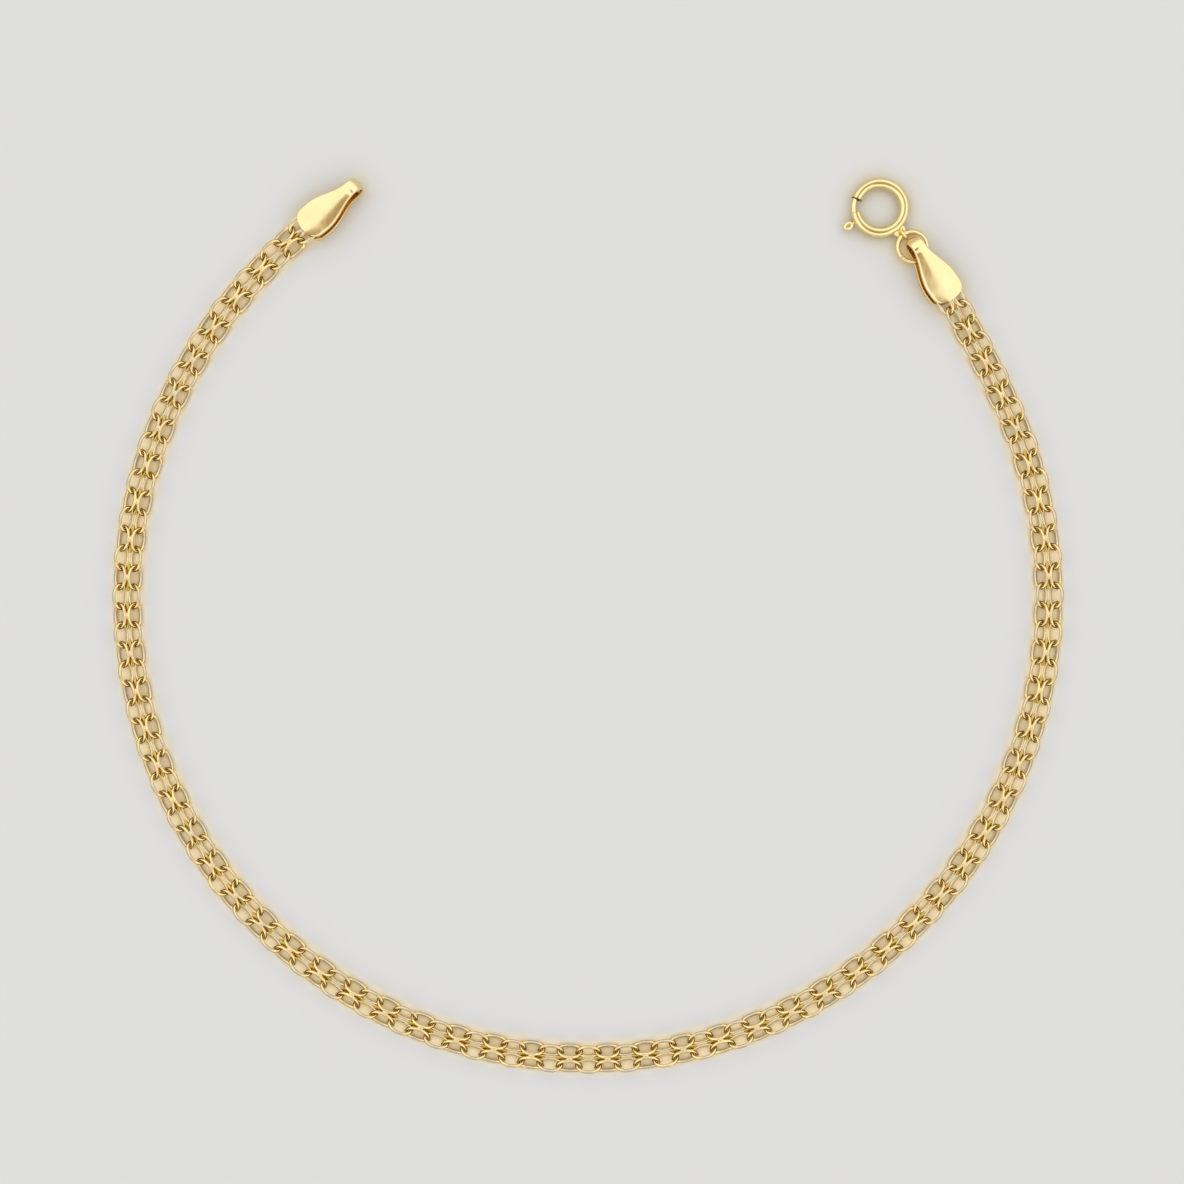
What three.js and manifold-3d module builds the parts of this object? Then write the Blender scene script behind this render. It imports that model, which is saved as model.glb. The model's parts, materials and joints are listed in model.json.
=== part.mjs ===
// A two-row Bismark chain bracelet, unfastened and lying flat.
// Millimetres, +Z up, the surface that it lies on at z = 0.
// Pieces: the chain band, a folded tag at each end, a jump ring, a spring ring and its trigger.

import * as THREE from "three";
import { mergeVertices } from "three/addons/utils/BufferGeometryUtils.js";
import Module from "manifold-3d";

const wasm = await Module();
wasm.setup();

const DEG = Math.PI / 180;

// Driving dimensions of the chain.
const PAIR_STEPS = 115; // link pairs from mouth to mouth; the odd ones are soldered at the top
const PITCH = 1.5092; // from one pair to the next where the chain lies at full length
const SLACK = { fromStep: 103, total: 0.76 }; // the pairs bunch up a little towards the clasp
const ROW_WIDTH = 1.14; // one row of links, from the middle line to the outer edge
const CHAIN_HEIGHT = 0.92;
const EDGE_DIP = 0.1; // how far the edge draws in where two links meet
const EYE = { halfLength: 0.46, halfWidth: 0.3, offset: 0.59, sides: 8 };

// The line that the chain lies along: three arcs, from the catch end round to the clasp end.
const LOOP_RADIUS = 36.4;
const ROUTE_START_HEADING = -140.5; // degrees from +X
const STRETCHES = [
  { radius: 39.0, turn: 27.5 }, // at the catch end
  { radius: LOOP_RADIUS, turn: 227.0 },
  { radius: 78.0, turn: 7.27 }, // at the clasp end
];

// The folded tags: a leaf of sheet metal bent back on itself round a loop.
const TAG = {
  length: 5.75,
  sheet: 0.24,
  mouthHeight: 1.45,
  loopHeight: 1.95,
  chainGap: 0.35, // from the mouth to the end of the band
};
const TAG_HALF_WIDTHS = [
  { fromMouth: 0.0, halfWidth: 1.02 },
  { fromMouth: 0.4, halfWidth: 1.25 },
  { fromMouth: 1.0, halfWidth: 1.34 },
  { fromMouth: 1.8, halfWidth: 1.33 },
  { fromMouth: 2.7, halfWidth: 1.13 },
  { fromMouth: 3.5, halfWidth: 0.86 },
  { fromMouth: 4.3, halfWidth: 0.62 },
  { fromMouth: 4.9, halfWidth: 0.54 },
  { fromMouth: 5.75, halfWidth: 0.47 },
];
const CATCH_TAG_TURN = 0; // degrees off the line of the chain's end
const CLASP_TAG_TURN = 2.8;
const TONGUE = { length: 1.5, root: 1.0, halfWidth: 0.75, low: 0.36 }; // last links, held between the leaves

// The jump ring and the spring ring. Reach and sway are from the tag's mouth and middle line.
const JUMP_RING = { radius: 1.1, wire: 0.36, reach: 5.14, sway: 0.16 };
const SPRING_RING = {
  radius: 1.98,
  tubeRadius: 0.395,
  boreRadius: 0.28,
  gapFrom: 160, // degrees round the ring, from +X
  gapTo: 191,
  slotFrom: 203,
  slotTo: 254,
  slotWidth: 0.34,
};
const BORE_OVERRUN = 5; // degrees that the bore's cutter runs past each end of the tube
// The jump ring's wire lies past the eyelet's middle by the pull.
const EYELET = { radius: 0.45, wire: 0.2, sunk: 0.02, pull: 0.12 };
const GATE = { wireRadius: 0.2, from: 155, to: 216 };
const TRIGGER = {
  at: 210, // degrees round the ring with the gate closed
  stemWidth: 0.2,
  stemProud: 0.15,
  loopRadius: 0.3,
  loopWire: 0.24,
  loopClear: 0.19,
};
const RING_HEIGHT = 0.56; // middle of the spring ring and the jump ring above the surface
const JUMP_HEADING = 130.5; // from the jump ring's middle towards the spring ring's

// How finely the round pieces are faceted.
const FACETS = {
  ringSteps: 36,
  tubeSides: 12,
  boreSides: 10,
  gateSteps: 10,
  gateSides: 8,
  wireSides: 6,
  jumpSteps: 16,
  eyeletSteps: 14,
  loopSteps: 12,
  bendSteps: 10,
  slotSteps: 8,
  leafPoints: 20,
};

const GOLD = { color: 0xe2b45a, roughness: 0.22, metalness: 1.0 };
const GOLD_CHAIN = { color: 0xd9aa52, roughness: 0.28, metalness: 1.0 };

// A closed three.js geometry as a solid that can be joined and cut.
function solidOf(geometry) {
  const bare = geometry.clone();
  bare.deleteAttribute("normal");
  bare.deleteAttribute("uv");
  const merged = mergeVertices(bare, 1e-4);
  return new wasm.Manifold(
    new wasm.Mesh({
      numProp: 3,
      vertProperties: merged.attributes.position.array,
      triVerts: new Uint32Array(merged.index.array),
    }),
  );
}

// A solid's surface as a three.js geometry.
function geometryOf(solid) {
  const mesh = solid.getMesh();
  const geometry = new THREE.BufferGeometry();
  geometry.setAttribute("position", new THREE.BufferAttribute(mesh.vertProperties, 3));
  geometry.setIndex(new THREE.BufferAttribute(mesh.triVerts, 1));
  geometry.computeVertexNormals();
  return geometry;
}

// A named mesh with its own metal.
function piece(name, geometry, finish) {
  const mesh = new THREE.Mesh(geometry, new THREE.MeshStandardMaterial(finish));
  mesh.name = name;
  return mesh;
}

// The unit vector that points out of the loop where the route has this heading.
function outward(heading) {
  return new THREE.Vector2(Math.sin(heading), -Math.cos(heading));
}

// The stretches laid tangent to each other, with the main arc's centre at (0, 0).
function layRoute() {
  let heading = ROUTE_START_HEADING * DEG;
  let along = 0;
  const arcs = STRETCHES.map((stretch) => {
    const arc = { radius: stretch.radius, heading, along, length: stretch.radius * stretch.turn * DEG };
    heading += stretch.turn * DEG;
    along += arc.length;
    return arc;
  });
  const [first, main, last] = arcs;
  main.centre = new THREE.Vector2(0, 0);
  first.centre = outward(main.heading).multiplyScalar(main.radius - first.radius);
  last.centre = outward(last.heading).multiplyScalar(main.radius - last.radius);
  return { arcs, length: along };
}

const route = layRoute();

// How far along the route a pair's middle lies; half steps are where two links meet.
function pairAt(step) {
  const bunched = Math.max(0, (step - SLACK.fromStep) / (PAIR_STEPS - SLACK.fromStep));
  return step * PITCH - SLACK.total * bunched ** 2;
}

// The point at a length along the route and a distance outwards from it, with the heading there.
function routeAt(along, out = 0) {
  const arc = route.arcs.findLast((candidate) => along >= candidate.along) ?? route.arcs[0];
  const heading = arc.heading + (along - arc.along) / arc.radius;
  const point = outward(heading).multiplyScalar(arc.radius + out).add(arc.centre);
  return { point, heading };
}

// One edge of the band: full width at the middle of each link, drawn in where links meet.
function chainEdge(side) {
  const ends = [TAG.chainGap, route.length - TAG.chainGap];
  const points = [routeAt(ends[0], side * ROW_WIDTH).point];
  for (let half = 1; half < 2 * PAIR_STEPS; half += 1) {
    const reach = half % 2 === 0 ? ROW_WIDTH : ROW_WIDTH - EDGE_DIP;
    points.push(routeAt(pairAt(half / 2), side * reach).point);
  }
  points.push(routeAt(ends[1], side * ROW_WIDTH).point);
  return points;
}

// The open eye of one link, as a prism through the band.
function eyeSolid(pair, side) {
  const points = [];
  for (let corner = 0; corner < EYE.sides; corner += 1) {
    const angle = ((corner + 0.5) / EYE.sides) * 2 * Math.PI;
    const along = pairAt(pair) + EYE.halfLength * Math.cos(angle);
    points.push(routeAt(along, side * EYE.offset + EYE.halfWidth * Math.sin(angle)).point);
  }
  const prism = new THREE.ExtrudeGeometry(new THREE.Shape(points), {
    depth: 3 * CHAIN_HEIGHT,
    bevelEnabled: false,
  });
  prism.translate(0, 0, -CHAIN_HEIGHT);
  return solidOf(prism);
}

// The tongue that a tag holds, as a block running from inside the band into the mouth.
function tongueSolid(along, turn) {
  const end = routeAt(along);
  const block = new THREE.BoxGeometry(
    TONGUE.length + TONGUE.root,
    2 * TONGUE.halfWidth,
    CHAIN_HEIGHT - TONGUE.low,
  );
  block.translate((TONGUE.length - TONGUE.root) / 2, 0, (CHAIN_HEIGHT + TONGUE.low) / 2);
  block.rotateZ(end.heading + turn);
  block.translate(end.point.x, end.point.y, 0);
  return solidOf(block);
}

// The chain as one pierced band: both rows, with the eyes of every soldered pair cut through.
function chainGeometry() {
  const outline = new THREE.Shape([...chainEdge(1), ...chainEdge(-1).reverse()]);
  let band = solidOf(new THREE.ExtrudeGeometry(outline, { depth: CHAIN_HEIGHT, bevelEnabled: false }));
  for (let pair = 1; pair < PAIR_STEPS; pair += 2) {
    band = band.subtract(eyeSolid(pair, 1)).subtract(eyeSolid(pair, -1));
  }
  band = band.add(tongueSolid(TAG.chainGap, Math.PI));
  return geometryOf(band.add(tongueSolid(route.length - TAG.chainGap, 0)));
}

// The side view of a tag: a hairpin of sheet, flat underneath, with a round loop at its far end.
function hairpinShape() {
  const { length, sheet, mouthHeight, loopHeight } = TAG;
  const radius = loopHeight / 2;
  const bend = length - radius;
  const shape = new THREE.Shape();
  shape.moveTo(0, 0);
  shape.lineTo(bend, 0);
  shape.absarc(bend, radius, radius, -Math.PI / 2, Math.PI / 2, false);
  shape.lineTo(0, mouthHeight);
  shape.lineTo(0, mouthHeight - sheet);
  shape.lineTo(bend, loopHeight - sheet);
  shape.absarc(bend, radius, radius - sheet, Math.PI / 2, -Math.PI / 2, true);
  shape.lineTo(0, sheet);
  return shape;
}

// The top view of a tag: a leaf, wide at the mouth and narrow at the loop.
function leafShape() {
  const edge = TAG_HALF_WIDTHS.map((row) => new THREE.Vector2(row.fromMouth, row.halfWidth));
  const curve = new THREE.SplineCurve(edge).getPoints(FACETS.leafPoints);
  const other = curve.map((point) => new THREE.Vector2(point.x, -point.y)).reverse();
  return new THREE.Shape([...other, ...curve]);
}

// A tag, with its mouth at the origin and its loop towards +X: where side and top view meet.
function tagGeometry() {
  const depth = 2 * TAG.loopHeight;
  const side = new THREE.ExtrudeGeometry(hairpinShape(), {
    depth,
    bevelEnabled: false,
    curveSegments: FACETS.bendSteps,
  });
  side.rotateX(Math.PI / 2);
  side.translate(0, depth / 2, 0);
  const leaf = new THREE.ExtrudeGeometry(leafShape(), { depth, bevelEnabled: false });
  leaf.translate(0, 0, (TAG.loopHeight - depth) / 2);
  return geometryOf(solidOf(side).intersect(solidOf(leaf)));
}

// A ring section of wire or tube, from one angle to another round the Z axis, with flat ends.
function arcRod(ringRadius, wireRadius, from, to, steps, sides) {
  const arc = new THREE.Curve();
  arc.getPoint = (share) => {
    const angle = (from + (to - from) * share) * DEG;
    return new THREE.Vector3(ringRadius * Math.cos(angle), ringRadius * Math.sin(angle), 0);
  };
  const section = new THREE.Shape();
  for (let corner = 0; corner < sides; corner += 1) {
    const angle = ((corner + 0.5) / sides) * 2 * Math.PI;
    const x = wireRadius * Math.cos(angle);
    const y = wireRadius * Math.sin(angle);
    if (corner === 0) section.moveTo(x, y);
    else section.lineTo(x, y);
  }
  return solidOf(new THREE.ExtrudeGeometry(section, { steps, extrudePath: arc, bevelEnabled: false }));
}

// A block that follows the ring, for the slot that the trigger runs in.
function arcSlot(inner, outer, from, to, height) {
  const shape = new THREE.Shape();
  shape.absarc(0, 0, outer, from * DEG, to * DEG, false);
  shape.absarc(0, 0, inner, to * DEG, from * DEG, true);
  const block = new THREE.ExtrudeGeometry(shape, {
    depth: height,
    bevelEnabled: false,
    curveSegments: FACETS.slotSteps,
  });
  block.translate(0, 0, -height / 2);
  return solidOf(block);
}

// A point in the ring's plane at a distance and an angle from its middle.
function polar(distance, degrees) {
  return [distance * Math.cos(degrees * DEG), distance * Math.sin(degrees * DEG)];
}

// Where the eyelet stands on the spring ring, on the side that the jump ring pulls at.
const EYELET_REACH = SPRING_RING.radius + SPRING_RING.tubeRadius + EYELET.radius - EYELET.sunk;
const EYELET_ANGLE = JUMP_HEADING + 180;

// The spring ring: a hollow tube bent to a ring, open at the gap, slotted for the trigger, with an eyelet.
function springRingGeometry() {
  const { radius, tubeRadius, boreRadius, gapFrom, gapTo, slotFrom, slotTo, slotWidth } = SPRING_RING;
  const { ringSteps, tubeSides, boreSides, wireSides, eyeletSteps } = FACETS;
  const tube = arcRod(radius, tubeRadius, gapTo, gapFrom + 360, ringSteps, tubeSides);
  const boreFrom = gapTo - BORE_OVERRUN;
  const boreTo = gapFrom + 360 + BORE_OVERRUN;
  const bore = arcRod(radius, boreRadius, boreFrom, boreTo, ringSteps, boreSides);
  const slot = arcSlot(radius, radius + 2 * tubeRadius, slotFrom, slotTo, slotWidth);
  const eyelet = new THREE.TorusGeometry(EYELET.radius, EYELET.wire / 2, wireSides, eyeletSteps);
  eyelet.rotateX(Math.PI / 2);
  eyelet.translate(EYELET_REACH, 0, 0);
  eyelet.rotateZ(EYELET_ANGLE * DEG);
  return geometryOf(tube.add(solidOf(eyelet)).subtract(bore).subtract(slot));
}

// The gate that closes the gap, with the stem and the small wire loop that a thumbnail pulls.
function triggerGeometry() {
  const { gateSteps, gateSides, wireSides, loopSteps } = FACETS;
  const gate = arcRod(SPRING_RING.radius, GATE.wireRadius, GATE.from, GATE.to, gateSteps, gateSides);
  const stemLength = SPRING_RING.tubeRadius + TRIGGER.stemProud;
  const stem = new THREE.BoxGeometry(stemLength, TRIGGER.stemWidth, TRIGGER.stemWidth);
  stem.translate(SPRING_RING.radius + stemLength / 2, 0, 0);
  stem.rotateZ(TRIGGER.at * DEG);
  const loop = new THREE.TorusGeometry(TRIGGER.loopRadius, TRIGGER.loopWire / 2, wireSides, loopSteps);
  const loopReach = SPRING_RING.radius + SPRING_RING.tubeRadius + TRIGGER.loopClear + TRIGGER.loopRadius;
  const [x, y] = polar(loopReach, TRIGGER.at);
  loop.translate(x, y, 0);
  return geometryOf(gate.add(solidOf(stem)).add(solidOf(loop)));
}

// The whole bracelet, laid round the loop's centre.
function layBracelet() {
  const loop = new THREE.Group();
  loop.add(piece("chain", chainGeometry(), GOLD_CHAIN));

  const start = routeAt(0);
  const catchTag = piece("catch_tag", tagGeometry(), GOLD);
  catchTag.position.set(start.point.x, start.point.y, 0);
  catchTag.rotation.z = start.heading + Math.PI + CATCH_TAG_TURN * DEG;

  const end = routeAt(route.length);
  const claspTag = piece("clasp_tag", tagGeometry(), GOLD);
  const claspHeading = end.heading + CLASP_TAG_TURN * DEG;
  claspTag.position.set(end.point.x, end.point.y, 0);
  claspTag.rotation.z = claspHeading;

  const fromMouth = new THREE.Vector2(JUMP_RING.reach, JUMP_RING.sway);
  const ringMiddle = fromMouth.rotateAround(new THREE.Vector2(0, 0), claspHeading).add(end.point);
  const { wireSides, jumpSteps } = FACETS;
  const ringTorus = new THREE.TorusGeometry(JUMP_RING.radius, JUMP_RING.wire / 2, wireSides, jumpSteps);
  const jumpRing = piece("jump_ring", ringTorus, GOLD);
  jumpRing.position.set(ringMiddle.x, ringMiddle.y, RING_HEIGHT);

  const clasp = new THREE.Group();
  const claspReach = JUMP_RING.radius + EYELET.pull + EYELET_REACH;
  const claspMiddle = ringMiddle.clone().add(new THREE.Vector2(...polar(claspReach, JUMP_HEADING)));
  clasp.position.set(claspMiddle.x, claspMiddle.y, RING_HEIGHT);
  clasp.add(piece("spring_ring", springRingGeometry(), GOLD), piece("trigger", triggerGeometry(), GOLD));

  loop.add(catchTag, claspTag, jumpRing, clasp);
  return loop;
}

// The origin is under the middle of the whole bracelet.
const bracelet = new THREE.Group();
const loop = layBracelet();
const extent = new THREE.Box3().setFromObject(loop, true);
const middle = extent.getCenter(new THREE.Vector3());
loop.position.set(-middle.x, -middle.y, -extent.min.z);
bracelet.add(loop);

export default bracelet;
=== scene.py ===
# A two-row chain bracelet in yellow gold, lying open on a pale floor. Lengths are in millimetres.
import json
import math
import bpy
import numpy as np
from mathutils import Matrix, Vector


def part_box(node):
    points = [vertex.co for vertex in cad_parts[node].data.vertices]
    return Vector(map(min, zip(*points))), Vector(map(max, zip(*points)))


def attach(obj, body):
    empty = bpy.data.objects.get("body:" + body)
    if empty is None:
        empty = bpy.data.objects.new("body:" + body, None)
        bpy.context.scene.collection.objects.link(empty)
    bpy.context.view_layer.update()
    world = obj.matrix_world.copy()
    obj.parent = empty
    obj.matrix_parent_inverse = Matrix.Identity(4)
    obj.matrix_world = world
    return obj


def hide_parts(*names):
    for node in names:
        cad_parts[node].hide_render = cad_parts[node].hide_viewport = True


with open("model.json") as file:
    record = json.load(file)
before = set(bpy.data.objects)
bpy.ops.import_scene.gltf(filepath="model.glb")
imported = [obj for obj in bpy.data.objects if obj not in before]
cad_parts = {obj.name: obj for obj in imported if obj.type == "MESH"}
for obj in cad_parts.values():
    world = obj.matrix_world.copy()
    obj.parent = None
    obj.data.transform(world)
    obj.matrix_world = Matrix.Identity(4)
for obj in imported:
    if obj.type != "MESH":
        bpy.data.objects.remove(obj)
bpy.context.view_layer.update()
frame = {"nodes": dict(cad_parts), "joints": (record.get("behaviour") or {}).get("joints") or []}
mm = 0.001
fullTurn = 2 * math.pi
print("frame loaded:", ", ".join(sorted(frame["nodes"])))


# grids and meshes

def gridQuads(rows, columns, closeRows=False):
    # quads between neighbours of a rows x columns grid; columns always wrap round, rows only if asked
    row = np.arange(rows if closeRows else rows - 1)
    row, column = np.meshgrid(row, np.arange(columns), indexing="ij")
    nextRow = (row + 1) % rows
    nextColumn = (column + 1) % columns
    corners = [row * columns + column, row * columns + nextColumn,
               nextRow * columns + nextColumn, nextRow * columns + column]
    return np.stack(corners, -1).reshape(-1, 4)


def facesOutwards(points, quads):
    # true where the volume under the quads, summed over their two triangles, is positive
    a, b, c, d = (points[quads[:, i]] for i in range(4))
    volume = np.einsum("ij,ij->", a, np.cross(b, c)) + np.einsum("ij,ij->", a, np.cross(c, d))
    return volume > 0


def shell(grid, closeRows=False):
    # one closed skin from a grid of sections; open ends get a flat cap over their whole section
    rows, columns = grid.shape[:2]
    points = grid.reshape(-1, 3)
    quads = gridQuads(rows, columns, closeRows)
    caps = []
    if not closeRows:
        caps = [list(range(columns))[::-1], list(range((rows - 1) * columns, rows * columns))]
    if not facesOutwards(points, quads):
        quads = quads[:, ::-1]
        caps = [cap[::-1] for cap in caps]
    return points, quads, caps


def joined(shells):
    # several skins as one list of points and faces
    points, faces, used = [], [], 0
    for shellPoints, quads, caps in shells:
        points.append(shellPoints)
        faces += (quads + used).tolist() + [[corner + used for corner in cap] for cap in caps]
        used += len(shellPoints)
    return np.concatenate(points), faces


def setAttribute(mesh, name, values):
    mesh.attributes.new(name, "FLOAT", "POINT").data.foreach_set("value", values.astype(np.float32))


def makePiece(name, points, faces, material, body, node, tone=0.0, sharpDegrees=40):
    # points in millimetres, already in place in the frame; tone below 0 is darker gold, and the tone carries
    # the piece's painted shade and painted highlight
    mesh = bpy.data.meshes.new(name)
    mesh.from_pydata((points * mm).tolist(), [], faces)
    mesh.shade_smooth()
    mesh.set_sharp_from_angle(angle=math.radians(sharpDegrees))
    mesh.materials.append(material)
    setAttribute(mesh, "toneAndPaintedLight", np.broadcast_to(tone, len(points)))
    piece = bpy.data.objects.new(name, mesh)
    bpy.context.scene.collection.objects.link(piece)
    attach(piece, body)
    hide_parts(node)
    print(name, "made with", len(mesh.polygons), "faces")
    return piece


# golds

# tones: the colour from dark to pale, where the darkest tones serve as painted shade and the palest as
# painted highlight, with a cloudy random tone between; smooth and satin: roughness; cloud and scratch: how
# many per mm
finishes = {
    "chainGold": {
        "tones": ((0.0, (0.25, 0.15, 0.025)), (0.35, (0.60, 0.41, 0.11)), (0.75, (0.93, 0.72, 0.33)),
                  (0.88, (0.70, 0.54, 0.29)), (1.0, (0.60, 0.53, 0.37))),
        "smooth": 0.12, "satin": 0.24, "cloud": 0.8, "scratch": 5.0, "bump": 0.06,
    },
    "tagGold": {
        "tones": ((0.0, (0.16, 0.07, 0.012)), (0.35, (0.62, 0.38, 0.09)), (0.75, (0.85, 0.685, 0.36)),
                  (1.0, (0.92, 0.81, 0.52))),
        "smooth": 0.14, "satin": 0.26, "cloud": 0.5, "scratch": 4.0, "bump": 0.05,
    },
    "claspGold": {
        "tones": ((0.0, (0.12, 0.08, 0.02)), (0.75, (0.84, 0.69, 0.34)), (1.0, (0.98, 0.88, 0.58))),
        "smooth": 0.10, "satin": 0.20, "cloud": 0.6, "scratch": 6.0, "bump": 0.05,
    },
}
wear = {
    "toneRange": (0.3, 0.6),            # how much the cloudy tone counts, and the tone where there is none
    "cloudDetail": 3,
    "scratchDetail": 2,
    "scratchTurn": (0.3, 0.2, 0.7),     # radians
    "scratchStretch": (1.0, 0.16, 1.0),
    "wornFrom": 0.15,                   # cloud times scratch: smooth below this
    "wornTo": 0.40,                     # and satin above this
    "bumpDepth": 0.02,                  # mm
}


def addNode(tree, kind, **values):
    node = tree.nodes.new(kind)
    for key, value in values.items():
        setattr(node, key, value)
    return node


def setStops(ramp, stops):
    # positions and colours of a colour ramp
    elements = ramp.color_ramp.elements
    while len(elements) < len(stops):
        elements.new(0.5)
    for element, (position, colour) in zip(elements, stops):
        element.position = position
        element.color = (*colour, 1)


def polishGroup():
    # worn polish on Object coordinates: a slow cloudy tone, and fine drawn-out scratches
    group = bpy.data.node_groups.new("wornPolish", "ShaderNodeTree")
    sockets = group.interface
    sockets.new_socket("Place", in_out="INPUT", socket_type="NodeSocketVector")
    for name in ("Cloud per mm", "Scratch per mm", "Smooth", "Satin"):
        sockets.new_socket(name, in_out="INPUT", socket_type="NodeSocketFloat")
    for name in ("Tone", "Roughness", "Height"):
        sockets.new_socket(name, in_out="OUTPUT", socket_type="NodeSocketFloat")
    given = addNode(group, "NodeGroupInput")
    out = addNode(group, "NodeGroupOutput")
    toMillimetres = addNode(group, "ShaderNodeVectorMath", operation="SCALE")
    toMillimetres.inputs["Scale"].default_value = 1 / mm
    drawnOut = addNode(group, "ShaderNodeMapping")
    drawnOut.inputs["Rotation"].default_value = wear["scratchTurn"]
    drawnOut.inputs["Scale"].default_value = wear["scratchStretch"]
    cloud = addNode(group, "ShaderNodeTexNoise")
    cloud.inputs["Detail"].default_value = wear["cloudDetail"]
    scratch = addNode(group, "ShaderNodeTexNoise")
    scratch.inputs["Detail"].default_value = wear["scratchDetail"]
    wearAndSheen = addNode(group, "ShaderNodeMath", operation="MULTIPLY")
    rough = addNode(group, "ShaderNodeMapRange")
    rough.inputs["From Min"].default_value = wear["wornFrom"]
    rough.inputs["From Max"].default_value = wear["wornTo"]
    link = group.links.new
    link(given.outputs["Place"], toMillimetres.inputs[0])
    link(toMillimetres.outputs[0], cloud.inputs["Vector"])
    link(toMillimetres.outputs[0], drawnOut.inputs["Vector"])
    link(drawnOut.outputs[0], scratch.inputs["Vector"])
    link(given.outputs["Cloud per mm"], cloud.inputs["Scale"])
    link(given.outputs["Scratch per mm"], scratch.inputs["Scale"])
    link(cloud.outputs["Fac"], wearAndSheen.inputs[0])
    link(scratch.outputs["Fac"], wearAndSheen.inputs[1])
    link(wearAndSheen.outputs[0], rough.inputs["Value"])
    link(given.outputs["Smooth"], rough.inputs["To Min"])
    link(given.outputs["Satin"], rough.inputs["To Max"])
    link(cloud.outputs["Fac"], out.inputs["Tone"])
    link(rough.outputs["Result"], out.inputs["Roughness"])
    link(scratch.outputs["Fac"], out.inputs["Height"])
    return group


def goldMaterial(name, group):
    # dark gold where the tone is low, pale where it is high; the tone is a cloudy random tone plus each
    # piece's own, which carries its painted shade and painted highlight
    finish = finishes[name]
    material = bpy.data.materials.new(name)
    material.use_nodes = True
    tree = material.node_tree
    metal = tree.nodes["Principled BSDF"]
    metal.inputs["Metallic"].default_value = 1.0
    place = addNode(tree, "ShaderNodeTexCoord")
    polish = addNode(tree, "ShaderNodeGroup", node_tree=group)
    polish.inputs["Cloud per mm"].default_value = finish["cloud"]
    polish.inputs["Scratch per mm"].default_value = finish["scratch"]
    polish.inputs["Smooth"].default_value = finish["smooth"]
    polish.inputs["Satin"].default_value = finish["satin"]
    clouded = addNode(tree, "ShaderNodeMath", operation="MULTIPLY_ADD")
    clouded.inputs[1].default_value, clouded.inputs[2].default_value = wear["toneRange"]
    own = addNode(tree, "ShaderNodeAttribute", attribute_name="toneAndPaintedLight")
    tone = addNode(tree, "ShaderNodeMath", operation="ADD", use_clamp=True)
    colours = addNode(tree, "ShaderNodeValToRGB")
    setStops(colours, finish["tones"])
    bump = addNode(tree, "ShaderNodeBump")
    bump.inputs["Strength"].default_value = finish["bump"]
    bump.inputs["Distance"].default_value = wear["bumpDepth"] * mm
    link = tree.links.new
    link(place.outputs["Object"], polish.inputs["Place"])
    link(polish.outputs["Tone"], clouded.inputs[0])
    link(clouded.outputs[0], tone.inputs[0])
    link(own.outputs["Fac"], tone.inputs[1])
    link(tone.outputs[0], colours.inputs["Fac"])
    link(colours.outputs["Color"], metal.inputs["Base Color"])
    link(polish.outputs["Roughness"], metal.inputs["Roughness"])
    link(polish.outputs["Height"], bump.inputs["Height"])
    link(bump.outputs["Normal"], metal.inputs["Normal"])
    return material


wornPolish = polishGroup()
chainGold = goldMaterial("chainGold", wornPolish)
tagGold = goldMaterial("tagGold", wornPolish)
claspGold = goldMaterial("claspGold", wornPolish)
print("golds ready")


# the line that the chain lies along

route = {
    "stretches": ((39.0, 27.5), (36.4, 227.0), (78.0, 7.27)),  # radius in mm and turn in degrees of each arc
    "startHeading": -140.5,
    "mainStretch": 1,
    "rowWidth": 1.14,   # from the middle line to the chain's edge
}


def layRoute():
    # arcs laid tangent to each other, round the middle of the main one, which the chain's box gives
    radius, turn = np.array(route["stretches"]).T
    turn = np.radians(turn)
    heading = math.radians(route["startHeading"]) + np.concatenate([[0], np.cumsum(turn)[:-1]])
    length = radius * turn
    along = np.concatenate([[0], np.cumsum(length)[:-1]])
    low, high = (np.array(corner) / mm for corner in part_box("chain"))
    mainRadius = radius[route["mainStretch"]]
    middle = np.array([(low[0] + high[0]) / 2, low[1] + mainRadius + route["rowWidth"]])
    joint = np.array([heading[1], heading[1], heading[2]])
    away = np.stack([np.sin(joint), -np.cos(joint)], -1)
    centre = middle + away * (mainRadius - radius)[:, None]
    return {"radius": radius, "heading": heading, "along": along, "centre": centre,
            "length": length.sum(), "middle": middle}


laid = layRoute()


def onRoute(along, out, height):
    # a length along the route, a distance outwards from it and a height, as points in the frame
    arc = np.clip(np.searchsorted(laid["along"], along, side="right") - 1, 0, 2)
    heading = laid["heading"][arc] + (along - laid["along"][arc]) / laid["radius"][arc]
    reach = laid["radius"][arc] + out
    x = laid["centre"][arc, 0] + reach * np.sin(heading)
    y = laid["centre"][arc, 1] - reach * np.cos(heading)
    return np.stack([x, y, np.broadcast_to(height, x.shape)], -1)


def headingOnRoute(along):
    arc = int(np.clip(np.searchsorted(laid["along"], along, side="right") - 1, 0, 2))
    return laid["heading"][arc] + (along - laid["along"][arc]) / laid["radius"][arc]


# the chain

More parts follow.
